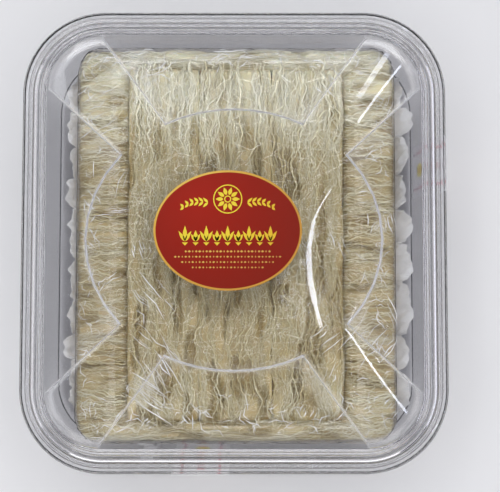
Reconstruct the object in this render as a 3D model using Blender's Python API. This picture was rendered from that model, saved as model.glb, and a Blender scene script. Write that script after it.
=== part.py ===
"""Edible bird's nest in its clear retail box.

A moulded tray holds a paper liner, two courses of nest strips lying across the box, three strips
lying along it on top, and a cling film over them all. A clear lid with a low relief closes the
tray. An oval label lies on the lid, and two seals bridge lid and tray.

Metres, +Z up. X runs across the box, Y along it. The origin is the middle of the tray's underside.
"""

import math

import bmesh
import bpy
from mathutils import Vector, noise

# Gap left between pieces that touch
GAP = 0.0003

# Lid, seen from above
LID_WIDTH = 0.188
LID_DEPTH = 0.204
LID_CORNER = 0.037
LID_WALL = 0.0015
SKIRT_DROP = 0.014
PANEL_RISE = 0.0052
RELIEF = 0.0022

# Oval middle of the lid's relief, and how far round it the side and end panels reach
OVAL_HALF_X = 0.064
OVAL_HALF_Y = 0.0565
SIDE_PANEL_SPAN = math.radians(40.0)
END_PANEL_SPAN = math.radians(27.5)
STEP_RUN = 0.0013

# Tray
TRAY_HEIGHT = 0.052
TRAY_WALL = 0.0016
TRAY_FLOOR = 0.0018
TRAY_INSET = 0.0046
FLANGE_INSET = 0.0026
FLANGE_THICK = 0.0018
DRAFT = 0.003
FOOT_ROUND = 0.004

# Nest: two courses of strips across the box, and one course along it on top
NEST_X = 0.0006
NEST_Y = -0.0005
NEST_HALF_X = 0.0720
NEST_HALF_Y = 0.0897
NEST_CORNER = 0.012
LOW_COURSE_INSET = 0.0025
COURSE = 0.0141
CROSS_STRIPS = 5
TOP_STRIPS = 3
TOP_HALF_X = 0.049
TOP_HALF_Y = 0.0785
LIP_RISE = 0.0090
LIP_RUN = 0.0060
RIDGE_DEPTH = 0.0026

# Paper liner, cling film, label and seals
LINER_THICK = 0.0004
LINER_HALF_X = 0.0738
LINER_HALF_Y = 0.0800
FLAP_HEIGHT = 0.0400
FLAP_LEAN = 0.0080
FILM_THICK = 0.0003
FILM_CLEAR = 0.0004
FILM_FOOT = 0.010
LABEL_HALF_X = 0.032
LABEL_HALF_Y = 0.026
LABEL_X = -0.0026
LABEL_Y = 0.0037
STICKER_THICK = 0.0003
SEAL_WIDTH = 0.0255
SEAL_FOOT = 0.0065
FRONT_SEAL_X = -0.0150
RIGHT_SEAL_Y = 0.0355

# Points along each side and round each corner of a loop, and the room that a step takes there
SIDE_STEPS = 4
CORNER_STEPS = 6
CORNER_MARGIN = math.radians(4.0)
LABEL_POINTS = 48

RIM_TOP = TRAY_HEIGHT + GAP + LID_WALL
PANEL_TOP = RIM_TOP + PANEL_RISE
OVAL_TOP = PANEL_TOP + RELIEF
NEST_FLOOR = TRAY_FLOOR + GAP + LINER_THICK + GAP
UP = Vector((0.0, 0.0, 1.0))


def clear_scene():
    """Remove whatever the open file holds."""
    for thing in list(bpy.data.objects):
        bpy.data.objects.remove(thing, do_unlink=True)


def finish(name, color, roughness, transmission=0.0):
    """One Principled material."""
    material = bpy.data.materials.new(name)
    material.use_nodes = True
    shader = material.node_tree.nodes["Principled BSDF"]
    shader.inputs["Base Color"].default_value = (*color, 1.0)
    shader.inputs["Roughness"].default_value = roughness
    shader.inputs["Metallic"].default_value = 0.0
    shader.inputs["Transmission Weight"].default_value = transmission
    return material


def add_piece(name, bm, material):
    """Turn a bmesh into a named object of the scene, smooth except at its sharp edges."""
    bmesh.ops.recalc_face_normals(bm, faces=bm.faces)
    mesh = bpy.data.meshes.new(name)
    bm.to_mesh(mesh)
    bm.free()
    mesh.shade_smooth()
    mesh.set_sharp_from_angle(angle=math.radians(35))
    mesh.materials.append(material)
    piece = bpy.data.objects.new(name, mesh)
    bpy.context.scene.collection.objects.link(piece)


def loft(rings):
    """A closed body: loops of equally many points joined in turn, the first and last one capped."""
    bm = bmesh.new()
    loops = [[bm.verts.new(point) for point in ring] for ring in rings]
    for near, far in zip(loops, loops[1:]):
        for i in range(len(near)):
            bm.faces.new((near[i - 1], near[i], far[i], far[i - 1]))
    bm.faces.new(loops[0])
    bm.faces.new(loops[-1])
    return bm


def steps(count):
    """Fractions from 0 to 1, both ends included."""
    return [i / count for i in range(count + 1)]


def smooth(t):
    """Ease from 0 to 1 as t does, held at both ends."""
    t = min(max(t, 0.0), 1.0)
    return t * t * (3.0 - 2.0 * t)


def offset_profile(points, wall):
    """A profile of (inset, height) points moved to its inner side by a wall's thickness."""
    flat = [Vector(point) for point in points]
    normals = []
    for a, b in zip(flat, flat[1:]):
        run = (b - a).normalized()
        normals.append(Vector((run.y, -run.x)))
    moved = []
    for point, before, after in zip(flat, normals[:1] + normals, normals + normals[-1:]):
        mitre = (before + after).normalized()
        moved.append(point + mitre * (wall / mitre.dot(before)))
    return moved


def round_ring(half_x, half_y, radius, z, centre=(0.0, 0.0)):
    """A loop of four straight sides and four rounded corners, anticlockwise from the right side."""
    middle = Vector((*centre, z))
    half = (half_x, half_y)
    ring = []
    for turn in range(4):
        out = turn * math.pi / 2
        normal = Vector((math.cos(out), math.sin(out), 0.0))
        along = Vector((-math.sin(out), math.cos(out), 0.0))
        reach = half[turn % 2]
        straight = half[1 - turn % 2] - radius
        for t in steps(SIDE_STEPS):
            ring.append(middle + normal * reach + along * straight * (2 * t - 1))
        pivot = middle + normal * (reach - radius) + along * straight
        for t in steps(CORNER_STEPS):
            angle = out + CORNER_MARGIN + t * (math.pi / 2 - 2 * CORNER_MARGIN)
            ring.append(pivot + radius * Vector((math.cos(angle), math.sin(angle), 0.0)))
    return ring


def box_ring(inset, z):
    """A loop round the box at an inset from the lid's outer edge."""
    return round_ring(LID_WIDTH / 2 - inset, LID_DEPTH / 2 - inset, LID_CORNER - inset, z)


def oval_ring(grow, z):
    """The relief's oval, with its points shared out between panels and arms as round_ring does."""
    spans = (SIDE_PANEL_SPAN, END_PANEL_SPAN)
    margin = STEP_RUN / OVAL_HALF_X
    ring = []
    for turn in range(4):
        middle = turn * math.pi / 2
        span = spans[turn % 2]
        arm_start = middle + span + margin
        arm_end = middle + math.pi / 2 - spans[1 - turn % 2] - margin
        angles = [middle + span * (2 * t - 1) for t in steps(SIDE_STEPS)]
        angles += [arm_start + (arm_end - arm_start) * t for t in steps(CORNER_STEPS)]
        for angle in angles:
            x = (OVAL_HALF_X + grow) * math.cos(angle)
            y = (OVAL_HALF_Y + grow) * math.sin(angle)
            ring.append(Vector((x, y, z)))
    return ring


def on_arm(index):
    """Whether a loop's point lies on an arm of the relief and not on a panel."""
    return index % (SIDE_STEPS + CORNER_STEPS + 2) > SIDE_STEPS


def relief_rings(edge_inset, grow, drop):
    """Loops over the lid's top from its edge to the oval: flat panels, and arms that rise inward."""
    outer = box_ring(edge_inset, PANEL_TOP - drop)
    inner = oval_ring(STEP_RUN + grow, PANEL_TOP - drop)
    rings = []
    for t in steps(3):
        ring = []
        for index, (a, b) in enumerate(zip(outer, inner)):
            lift = RELIEF * t if on_arm(index) else 0.0
            ring.append(a.lerp(b, t) + UP * lift)
        rings.append(ring)
    rings.append(oval_ring(grow, OVAL_TOP - drop))
    rings.append(oval_ring(grow - OVAL_HALF_Y / 2, OVAL_TOP - drop))
    return rings


def lid_profile():
    """The lid's outside from the foot of its skirt up over the rim to the edge of the panels."""
    return [
        (0.0000, RIM_TOP - SKIRT_DROP),
        (0.0004, RIM_TOP - 0.0020),
        (0.0009, RIM_TOP - 0.0007),
        (0.0021, RIM_TOP),
        (0.0062, RIM_TOP),
        (0.0069, RIM_TOP + 0.0009),
        (0.0086, RIM_TOP + 0.0009),
        (0.0093, RIM_TOP + 0.0018),
        (0.0103, RIM_TOP + 0.0018),
        (0.0112, RIM_TOP + 0.0042),
        (0.0124, PANEL_TOP),
    ]


def make_lid(material):
    """Clear lid: skirt, stepped rim, and a top of four flat panels round a raised oval and arms."""
    outside = lid_profile()
    inside = offset_profile(outside, LID_WALL)
    inside[0].y = outside[0][1]
    edge_inset = outside[-1][0] + LID_WALL
    rings = relief_rings(outside[-1][0] + STEP_RUN, 0.0, 0.0)[::-1]
    rings += [box_ring(inset, z) for inset, z in reversed(outside)]
    rings += [box_ring(inset, z) for inset, z in inside[:-1]]
    rings += relief_rings(edge_inset + STEP_RUN, -LID_WALL / 2, LID_WALL)
    add_piece("lid", loft(rings), material)


def tray_wall(z):
    """The tray wall's inset at a height: it leans out towards the rim."""
    return TRAY_INSET + DRAFT * (1.0 - z / TRAY_HEIGHT)


def make_tray(material):
    """Clear tray: flat foot, drafted wall, and a flange that the lid rests on."""
    under_flange = TRAY_HEIGHT - FLANGE_THICK
    foot = tray_wall(FOOT_ROUND)
    outside = [
        (foot + FOOT_ROUND, 0.0),
        (foot + FOOT_ROUND * 0.3, FOOT_ROUND * 0.3),
        (foot, FOOT_ROUND),
        (tray_wall(under_flange), under_flange),
        (FLANGE_INSET, under_flange),
        (FLANGE_INSET, TRAY_HEIGHT),
    ]
    floor_edge = TRAY_FLOOR + FOOT_ROUND
    inside = [
        (TRAY_INSET + TRAY_WALL, TRAY_HEIGHT),
        (tray_wall(floor_edge) + TRAY_WALL, floor_edge),
        (foot + TRAY_WALL + FOOT_ROUND * 0.3, TRAY_FLOOR + FOOT_ROUND * 0.3),
        (foot + TRAY_WALL + FOOT_ROUND, TRAY_FLOOR),
    ]
    add_piece("tray", loft([box_ring(inset, z) for inset, z in outside + inside]), material)


def flap_height(y, side):
    """Height of a liner flap's torn edge above the fold, along the box."""
    wave = noise.noise(Vector((y * 45.0, side * 3.7, 0.5)))
    notch = noise.noise(Vector((y * 160.0, side * 9.1, 2.5)))
    return FLAP_HEIGHT * (0.88 + 0.16 * wave + 0.08 * notch)


def liner_profile(y):
    """The liner's upper face across the box at one place along it, left flap to right flap."""
    base = TRAY_FLOOR + GAP + LINER_THICK
    right = [(LINER_HALF_X * t, base) for t in (0.0, 0.6)]
    right.append((LINER_HALF_X - 0.0015, base))
    left = [(-x, z) for x, z in right[1:]]
    for side, half in ((1, right), (-1, left)):
        height = flap_height(y, side)
        for t in (0.06, 0.35, 0.7, 1.0):
            lean = FLAP_LEAN * t * t + 0.0008 * math.sin(y * 210.0 + side) * t
            half.append((side * (LINER_HALF_X + lean), base + height * t))
    return left[::-1] + right


def make_liner(material):
    """Paper liner: a sheet under the nest whose two long edges stand up as torn, leaning flaps."""
    rings = []
    for t in steps(16):
        y = LINER_HALF_Y * (2 * t - 1)
        upper = liner_profile(y)
        lower = offset_profile(upper, LINER_THICK)
        rings.append([Vector((x, y, z)) for x, z in upper + [tuple(p) for p in reversed(lower)]])
    add_piece("liner", loft(rings), material)


def tuck(x, y, inset):
    """Pull a point of the nest inside the block's rounded corners."""
    corner_x = NEST_HALF_X - inset - NEST_CORNER
    corner_y = NEST_HALF_Y - inset - NEST_CORNER
    over = Vector((abs(x) - corner_x, abs(y) - corner_y))
    if over.x > 0.0 and over.y > 0.0 and over.length > NEST_CORNER:
        over = over.normalized() * NEST_CORNER
        x = math.copysign(corner_x + over.x, x)
        y = math.copysign(corner_y + over.y, y)
    return x, y


def lip(x, y):
    """How far the middle course stands up outside the strips that lie on it."""
    outside = max(abs(x) - TOP_HALF_X, abs(y) - TOP_HALF_Y) - 2 * GAP
    return LIP_RISE * smooth(outside / LIP_RUN)


def crowd_to_ends(s):
    """Move places along a strip, from -1 to 1, closer together near its ends."""
    return 0.6 * s + 0.4 * math.sin(s * math.pi / 2)


def strip_section(width, height, along, top_points, seed, end):
    """One cross-section of a strip as (across, up) points: a ridged crown, round sides, a flat bed."""
    section = []
    for t in steps(top_points):
        side = 2 * t - 1
        ridge = 0.5 + 0.5 * noise.noise(Vector((side * width * 90.0, along * 22.0, seed)))
        round_off = 0.4 + 0.6 * math.sqrt(max(0.0, 1.0 - abs(side) ** 5))
        up = height * round_off * (0.6 + 0.4 * end) - RIDGE_DEPTH * ridge * round_off
        section.append((side * width / 2 * (0.86 + 0.14 * end), up))
    for side, up in ((1.0, 0.16), (0.88, 0.0), (0.0, 0.0), (-0.88, 0.0), (-1.0, 0.16)):
        section.append((side * width / 2 * (0.86 + 0.14 * end), up * height))
    return section


def make_strip(name, low, high, across_box, inset, with_lip, detail, material):
    """One nest strip in the block from low to high, lying across the box or along it."""
    stations, top_points = detail
    seed = 10.0 * low.x + 37.0 * low.y + 530.0 * low.z
    size = high - low
    centre = (low + high) / 2
    length = size.x if across_box else size.y
    width = size.y if across_box else size.x
    rings = []
    for t in steps(stations):
        s = crowd_to_ends(2 * t - 1)
        end = math.sqrt(max(0.0, 1.0 - abs(s) ** 16))
        ring = []
        for across, up in strip_section(width, size.z, s * length / 2, top_points, seed, end):
            x = centre.x + (s * length / 2 if across_box else across)
            y = centre.y + (across if across_box else s * length / 2)
            if across_box:
                x, y = tuck(x, y, inset)
            if with_lip and up > size.z * 0.2:
                up += lip(x, y) * up / size.z
            ring.append(Vector((NEST_X + x, NEST_Y + y, low.z + up)))
        rings.append(ring)
    add_piece(name, loft(rings), material)


def make_cross_course(prefix, level, inset, with_lip, detail, material):
    """A course of strips side by side, each lying across the box."""
    half_x = NEST_HALF_X - inset
    half_y = NEST_HALF_Y - inset
    pitch = 2 * half_y / CROSS_STRIPS
    floor = NEST_FLOOR + level * COURSE
    for i in range(CROSS_STRIPS):
        south = -half_y + i * pitch
        low = Vector((-half_x, south, floor))
        high = Vector((half_x, south + pitch - GAP, floor + COURSE - GAP))
        make_strip(f"{prefix}_{i + 1}", low, high, True, inset, with_lip, detail, material)


def make_top_course(material):
    """The three strips that lie along the box on top of the others."""
    pitch = 2 * TOP_HALF_X / TOP_STRIPS
    floor = NEST_FLOOR + 2 * COURSE
    for i in range(TOP_STRIPS):
        west = -TOP_HALF_X + i * pitch
        low = Vector((west, -TOP_HALF_Y, floor))
        high = Vector((west + pitch - GAP, TOP_HALF_Y, floor + COURSE - GAP))
        make_strip(f"nest_top_{i + 1}", low, high, False, 0.0, False, (22, 12), material)


def make_film(material):
    """Cling film: a skin over the nest, open below, tented from the top strips to the block's edge."""
    crest = NEST_FLOOR + 3 * COURSE - GAP + FILM_CLEAR + FILM_THICK
    shoulder = NEST_FLOOR + 2 * COURSE - GAP + LIP_RISE + FILM_CLEAR + FILM_THICK
    grow = FILM_CLEAR + FILM_THICK
    edge = (NEST_HALF_X + grow, NEST_HALF_Y + grow, NEST_CORNER + grow)
    outside = [
        (TOP_HALF_X * 0.6, TOP_HALF_Y * 0.6, 0.006, crest),
        (TOP_HALF_X + 0.001, TOP_HALF_Y + 0.001, 0.006, crest),
        (edge[0] - 0.0015, edge[1] - 0.0015, edge[2] - 0.0015, shoulder),
        (*edge, shoulder - 0.002),
        (*edge, FILM_FOOT),
    ]
    inside = [(x - FILM_THICK, y - FILM_THICK, r - FILM_THICK, z - FILM_THICK) for x, y, r, z in outside]
    inside[-1] = (*inside[-1][:3], FILM_FOOT)
    rings = [round_ring(*loop, centre=(NEST_X, NEST_Y)) for loop in outside + inside[::-1]]
    add_piece("film", loft(rings), material)


def make_label(material):
    """Oval label lying on the raised middle of the lid."""
    rings = []
    for z in (OVAL_TOP + GAP, OVAL_TOP + GAP + STICKER_THICK):
        ring = []
        for i in range(LABEL_POINTS):
            angle = 2 * math.pi * i / LABEL_POINTS
            x = LABEL_X + LABEL_HALF_X * math.cos(angle)
            y = LABEL_Y + LABEL_HALF_Y * math.sin(angle)
            ring.append(Vector((x, y, z)))
        rings.append(ring)
    add_piece("label", loft(rings), material)


def seal_profile():
    """The seal's inner face as (inset, z), from the skirt over its foot and in to the tray's wall."""
    skirt_foot = RIM_TOP - SKIRT_DROP
    land = skirt_foot - 0.0085
    return [
        (tray_wall(SEAL_FOOT) - GAP, SEAL_FOOT),
        (tray_wall(land) - GAP, land),
        (-GAP, skirt_foot - 0.0005),
        (-GAP, skirt_foot + 0.0005),
        (0.0003 - GAP, RIM_TOP - 0.0030),
    ]


def make_seal(name, turn, middle, material):
    """One paper seal down a side of the box, on the side that the turn names."""
    inner = seal_profile()
    outer = offset_profile(inner, -STICKER_THICK)
    reach = (LID_WIDTH / 2, LID_DEPTH / 2)[turn % 2]
    normal = Vector((math.cos(turn * math.pi / 2), math.sin(turn * math.pi / 2), 0.0))
    along = Vector((abs(normal.y), abs(normal.x), 0.0))
    rings = []
    for t in steps(2):
        place = along * (middle + SEAL_WIDTH * (t - 0.5))
        section = [Vector(point) for point in inner] + outer[::-1]
        rings.append([place + normal * (reach - point.x) + UP * point.y for point in section])
    add_piece(name, loft(rings), material)


def main():
    clear_scene()
    clear = finish("clear_plastic", (0.95, 0.97, 0.98), 0.06, transmission=0.9)
    film = finish("cling_film", (0.96, 0.96, 0.95), 0.15, transmission=0.9)
    nest = finish("nest", (0.63, 0.57, 0.40), 0.55)
    paper = finish("liner_paper", (0.74, 0.74, 0.73), 0.85)
    red = finish("label_print", (0.52, 0.03, 0.015), 0.35)
    seal = finish("seal_paper", (0.72, 0.71, 0.69), 0.6)
    make_tray(clear)
    make_lid(clear)
    make_liner(paper)
    make_cross_course("nest_low", 0, LOW_COURSE_INSET, False, (8, 5), nest)
    make_cross_course("nest_middle", 1, 0.0, True, (16, 8), nest)
    make_top_course(nest)
    make_film(film)
    make_label(red)
    make_seal("seal_front", 3, FRONT_SEAL_X, seal)
    make_seal("seal_right", 0, RIGHT_SEAL_Y, seal)


main()
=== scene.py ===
import math
import random

import bmesh
import bpy
from mathutils import Matrix, Vector, noise


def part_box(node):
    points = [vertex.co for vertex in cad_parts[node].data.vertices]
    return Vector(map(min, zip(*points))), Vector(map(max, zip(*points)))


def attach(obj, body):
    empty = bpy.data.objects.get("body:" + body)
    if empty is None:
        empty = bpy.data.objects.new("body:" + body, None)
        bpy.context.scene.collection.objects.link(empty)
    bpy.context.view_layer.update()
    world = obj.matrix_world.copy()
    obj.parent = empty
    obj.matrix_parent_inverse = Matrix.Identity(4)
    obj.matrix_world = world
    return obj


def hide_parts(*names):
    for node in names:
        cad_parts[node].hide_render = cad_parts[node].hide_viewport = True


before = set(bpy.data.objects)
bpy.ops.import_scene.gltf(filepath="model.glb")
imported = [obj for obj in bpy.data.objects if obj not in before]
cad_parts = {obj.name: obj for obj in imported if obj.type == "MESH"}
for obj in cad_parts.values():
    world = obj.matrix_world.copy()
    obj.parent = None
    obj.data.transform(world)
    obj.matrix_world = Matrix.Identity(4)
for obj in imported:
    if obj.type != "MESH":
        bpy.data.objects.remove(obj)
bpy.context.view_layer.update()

# The tray is the box's lower half: one shot of clear polystyrene with drafted walls, a rounded foot
# and a narrow flange round its mouth. It is built as a profile carried round the box, side by side
# and corner by corner, and closed by a flat floor.
lid_low, lid_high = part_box("lid")
tray_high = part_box("tray")[1]
lid_corner = 0.037
side_steps = 8
arm_margin = 3.0
plastic_wall = 0.0010
flange_inset = lid_high.x - tray_high.x
wall_inset = flange_inset + 0.0020
wall_draft = 0.0030
foot_round = 0.0040
flange_thick = 0.0018
floor_thick = 0.0018
floor_margin = 0.003


def ease(t):
    """Go from 0 to 1 as t does, gently at both ends."""
    t = min(max(t, 0.0), 1.0)
    return t * t * (3.0 - 2.0 * t)


def box_spokes():
    """Places round the box as (side, place along the side from -1 to 1, angle round the corner)."""
    corner_angles = [arm_margin * t / 4 for t in range(4)]
    corner_angles += [arm_margin + (90.0 - 2 * arm_margin) * t / 14 for t in range(15)]
    corner_angles += [90.0 - arm_margin * t / 4 for t in (3, 2, 1)]
    spokes = []
    for side in range(4):
        spokes += [(side, 2.0 * i / side_steps - 1.0, 0.0) for i in range(side_steps)]
        spokes += [(side, 1.0, angle) for angle in corner_angles]
    return spokes


box_way_round = box_spokes()


def box_ring(inset, z):
    """Points of a round-cornered ring at an inset from the lid's outer edge, one on each spoke."""
    radius = lid_corner - inset
    half_x, half_y = lid_high.x - inset, lid_high.y - inset
    ring = []
    for side, along, angle in box_way_round:
        out = side * math.pi / 2
        normal = Vector((math.cos(out), math.sin(out), 0.0))
        tangent = Vector((-normal.y, normal.x, 0.0))
        reach = (half_x, half_y)[side % 2] - radius
        straight = (half_y, half_x)[side % 2] - radius
        turn = out + math.radians(angle)
        point = normal * reach + tangent * straight * along
        point += radius * Vector((math.cos(turn), math.sin(turn), 0.0))
        ring.append(point + Vector((0.0, 0.0, z)))
    return ring


def rounded(profile, radius):
    """A profile of (inset, height) points with its inner corners turned to small curves."""
    curve = [Vector(profile[0])]
    for before, corner, after in zip(profile, profile[1:], profile[2:]):
        corner = Vector(corner)
        back = Vector(before) - corner
        ahead = Vector(after) - corner
        cut = min(radius, 0.45 * back.length, 0.45 * ahead.length)
        start = corner + back.normalized() * cut
        end = corner + ahead.normalized() * cut
        for t in (0.0, 0.25, 0.5, 0.75, 1.0):
            curve.append(start * (1 - t) ** 2 + corner * 2 * t * (1 - t) + end * t * t)
    curve.append(Vector(profile[-1]))
    return curve


def first_ring(bm, points):
    """A closed ring of vertices and edges."""
    ring = [bm.verts.new(point) for point in points]
    for a, b in zip(ring, ring[1:] + ring[:1]):
        bm.edges.new((a, b))
    return ring


def extrude_ring(bm, ring, points):
    """Extrude a ring of vertices to the next ring's points."""
    edges = [bm.edges.get(pair) for pair in zip(ring, ring[1:] + ring[:1])]
    made = bmesh.ops.extrude_edge_only(bm, edges=edges)["geom"]
    fresh = {part for part in made if isinstance(part, bmesh.types.BMVert)}
    following = []
    for vertex, point in zip(ring, points):
        partner = next(e.other_vert(vertex) for e in vertex.link_edges if e.other_vert(vertex) in fresh)
        partner.co = point
        following.append(partner)
    return following


def sweep_rings(rings):
    """A closed shape: rings extruded one into the next, with the first and the last one filled."""
    bm = bmesh.new()
    ring = first_ring(bm, rings[0])
    bmesh.ops.contextual_create(bm, geom=ring)
    for points in rings[1:]:
        ring = extrude_ring(bm, ring, points)
    bmesh.ops.contextual_create(bm, geom=ring)
    bmesh.ops.recalc_face_normals(bm, faces=bm.faces)
    return bm


def new_object(name, data):
    """An object in the scene."""
    made = bpy.data.objects.new(name, data)
    bpy.context.scene.collection.objects.link(made)
    return made


def as_piece(name, bm, materials, replaced=()):
    """Turn a bmesh into a piece of the object that rides on its one body."""
    mesh = bpy.data.meshes.new(name)
    bm.to_mesh(mesh)
    bm.free()
    mesh.shade_smooth()
    for material in materials:
        mesh.materials.append(material)
    piece = new_object(name, mesh)
    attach(piece, "root")
    if replaced:
        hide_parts(*replaced)
    return piece


def flatten_normals(piece):
    """Let wide flat faces keep their own normal beside the small rounded edges."""
    weighted = piece.modifiers.new("flat faces stay flat", "WEIGHTED_NORMAL")
    weighted.mode = "FACE_AREA"
    weighted.weight = 100


def new_material(name):
    """A node material, its empty tree, and the surface socket of its output."""
    material = bpy.data.materials.new(name)
    material.use_nodes = True
    tree = material.node_tree
    tree.nodes.clear()
    return material, tree, tree.nodes.new("ShaderNodeOutputMaterial").inputs["Surface"]


def add_node(tree, kind, inputs=(), **settings):
    """A node with its settings, and with each named input linked or set."""
    made = tree.nodes.new("ShaderNode" + kind)
    for name, value in settings.items():
        setattr(made, name, value)
    for name, value in dict(inputs).items():
        if isinstance(value, bpy.types.NodeSocket):
            tree.links.new(value, made.inputs[name])
        else:
            made.inputs[name].default_value = value
    return made


def own_place(tree):
    """A place in the piece's own coordinates."""
    return add_node(tree, "TexCoord").outputs["Object"]


def clouds(tree, place, scale, detail=2.0, distortion=0.0):
    """Noise round 0.5 at a place."""
    inputs = {"Vector": place, "Scale": scale, "Detail": detail, "Distortion": distortion}
    return add_node(tree, "TexNoise", inputs).outputs["Fac"]


def spread(tree, value, low, high):
    """Noise stretched to run from low to high."""
    inputs = {"Value": value, "From Min": 0.25, "From Max": 0.75, "To Min": low, "To Max": high}
    return add_node(tree, "MapRange", inputs).outputs["Result"]


def haze_group():
    """Uneven handling haze for clear and glossy surfaces, as a value round 0.5."""
    group = bpy.data.node_groups.new("handling haze", "ShaderNodeTree")
    group.interface.new_socket("Scale", in_out="INPUT", socket_type="NodeSocketFloat")
    group.interface.new_socket("Haze", in_out="OUTPUT", socket_type="NodeSocketFloat")
    scale = group.nodes.new("NodeGroupInput").outputs["Scale"]
    haze = clouds(group, own_place(group), scale, 3.0)
    group.links.new(haze, group.nodes.new("NodeGroupOutput").inputs["Haze"])
    return group


handling_haze = haze_group()
haze_scale = 38.0


def clear_material(name, tint, ior, roughness, lamp_share, painted_highlight_clearness=0.70):
    """Clear plastic: plain transmission, with a painted highlight that makes sloping moulded steps whiter
    and less clear, and lamps let through.
    """
    material, tree, surface = new_material(name)
    # Painted highlight: where a piece marks a face as catching light, the plastic is drawn less clear and
    # shows its white base colour.
    painted_highlight = add_node(tree, "Attribute", attribute_name="painted_highlight").outputs["Fac"]
    clearness_with_painted_highlight = add_node(tree, "MapRange", {"Value": painted_highlight, "To Min": 1.0, "To Max": painted_highlight_clearness})
    haze = add_node(tree, "Group", {"Scale": haze_scale}, node_tree=handling_haze).outputs["Haze"]
    shader = add_node(tree, "BsdfPrincipled", {
        "Base Color": (*tint, 1.0), "IOR": ior, "Transmission Weight": clearness_with_painted_highlight.outputs["Result"],
        "Roughness": spread(tree, haze, *roughness)})
    lamps = add_node(tree, "BsdfTransparent", {"Color": (lamp_share, lamp_share, lamp_share, 1.0)})
    path = add_node(tree, "LightPath")
    choose = add_node(tree, "MixShader", {
        0: path.outputs["Is Shadow Ray"], 1: shader.outputs[0], 2: lamps.outputs[0]})
    tree.links.new(choose.outputs[0], surface)
    return material


lid_plastic = clear_material("clear lid plastic", (0.97, 0.97, 0.98), 1.5, (0.0, 0.03), 0.96)
# The tray's grey tint is painted shade: it darkens the walls, and what shows through them, more than clear
# polystyrene does.
tray_plastic = clear_material("clear tray plastic", (0.82, 0.815, 0.83), 1.5, (0.0, 0.04), 0.46)


def wall_at(z):
    """The tray wall's inset at a height."""
    return wall_inset + wall_draft * (1.0 - z / tray_high.z)


foot_inset = wall_at(foot_round)
floor_edge = floor_thick + foot_round
tray_outside = rounded([
    (foot_inset + foot_round + floor_margin, 0.0),
    (foot_inset, 0.0),
    (wall_at(tray_high.z - flange_thick), tray_high.z - flange_thick),
    (flange_inset, tray_high.z - flange_thick),
    (flange_inset, tray_high.z),
    (wall_inset + plastic_wall, tray_high.z),
    (wall_at(floor_edge) + plastic_wall, floor_thick),
    (foot_inset + plastic_wall + foot_round + floor_margin, floor_thick),
], foot_round)
tray_piece = as_piece(
    "tray_shell", sweep_rings([box_ring(inset, z) for inset, z in tray_outside]),
    [tray_plastic], ["tray"])
flatten_normals(tray_piece)

# The lid is one shot of the same clear plastic. Its skirt, steps and fine beads are a profile carried
# round the box; inside them lie four flat panels, and an oval and four arms that stand a little
# proud of the panels and run down to nothing at the rim.
skirt_foot = lid_low.z
rim_top = tray_high.z + 0.0018
panel_top = rim_top + 0.0052
oval_top = lid_high.z
relief = oval_top - panel_top
oval_half_x = 0.0640
oval_half_y = 0.0565
panel_spans = (math.radians(40.0), math.radians(27.5))
step_run = 0.0010
lid_wall = 0.0010
panel_inset = 0.0135
arm_foot = 0.0010
arm_start = 0.45
relief_rings = 12
step_rings = 6


def inner_side(profile, wall):
    """A profile moved to its inner side by the wall's thickness."""
    normals = []
    for a, b in zip(profile, profile[1:]):
        run = (Vector(b) - Vector(a)).normalized()
        normals.append(Vector((run.y, -run.x)))
    moved = []
    for point, before, after in zip(profile, normals[:1] + normals, normals + normals[-1:]):
        mitre = (before + after).normalized()
        moved.append(Vector(point) + mitre * (wall / mitre.dot(before)))
    return moved


def oval_ring(grow, z):
    """Points of the relief's oval, one on each spoke."""
    ring = []
    for side, along, angle in box_way_round:
        middle = side * math.pi / 2
        span = panel_spans[side % 2]
        arm = math.pi / 2 - span - panel_spans[1 - side % 2]
        turn = middle + span * along + arm * angle / 90.0
        x = (oval_half_x + grow) * math.cos(turn)
        y = (oval_half_y + grow) * math.sin(turn)
        ring.append(Vector((x, y, z)))
    return ring


def arm_share(spoke):
    """1 on an arm of the relief, 0 on a panel, and a soft step between them."""
    angle = spoke[2]
    return ease(min(angle, 90.0 - angle) / arm_margin)


def top_rings(drop, shrink):
    """Rings over the lid's top, from the rim's foot to the middle of the oval."""
    outer = box_ring(panel_inset + shrink, panel_top - drop)
    inner = oval_ring(step_run - shrink, panel_top - drop)
    rings = [box_ring(panel_inset - arm_foot + shrink, panel_top - drop)]
    for i in range(relief_rings + 1):
        t = i / relief_rings
        lift = relief * (arm_start + (1.0 - arm_start) * t)
        ring = []
        for spoke, a, b in zip(box_way_round, outer, inner):
            ring.append(a.lerp(b, t) + Vector((0.0, 0.0, lift * arm_share(spoke))))
        rings.append(ring)
    for i in range(1, step_rings + 1):
        t = i / step_rings
        ring = oval_ring(step_run * (1.0 - t) - shrink, panel_top - drop)
        for spoke, point in zip(box_way_round, ring):
            share = arm_share(spoke)
            point.z += relief * (share + (1.0 - share) * ease(t))
        rings.append(ring)
    rings.append(oval_ring(-0.003 - shrink, oval_top - drop))
    return rings


lid_core = [
    (0.0000, skirt_foot),
    (0.0004, rim_top - 0.0016),
    (0.0006, rim_top - 0.0002),
    (0.0054, rim_top - 0.0002),
    (0.0061, rim_top + 0.0009),
    (0.0078, rim_top + 0.0009),
    (0.0085, rim_top + 0.0018),
    (0.0103, rim_top + 0.0018),
    (0.0112, panel_top),
    (0.0122, panel_top),
]
edge_beads = [
    (0.0000, skirt_foot),
    (0.0003, rim_top - 0.0016),
    (0.0008, rim_top),
    (0.0015, rim_top),
    (0.0019, rim_top - 0.0004),
    (0.0032, rim_top - 0.0004),
    (0.0035, rim_top + 0.0001),
    (0.0040, rim_top + 0.0001),
    (0.0043, rim_top - 0.0003),
    (0.0053, rim_top - 0.0003),
]
inner_bead = [
    (0.0088, rim_top + 0.0018),
    (0.0091, rim_top + 0.0023),
    (0.0096, rim_top + 0.0023),
    (0.0099, rim_top + 0.0018),
]
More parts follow.
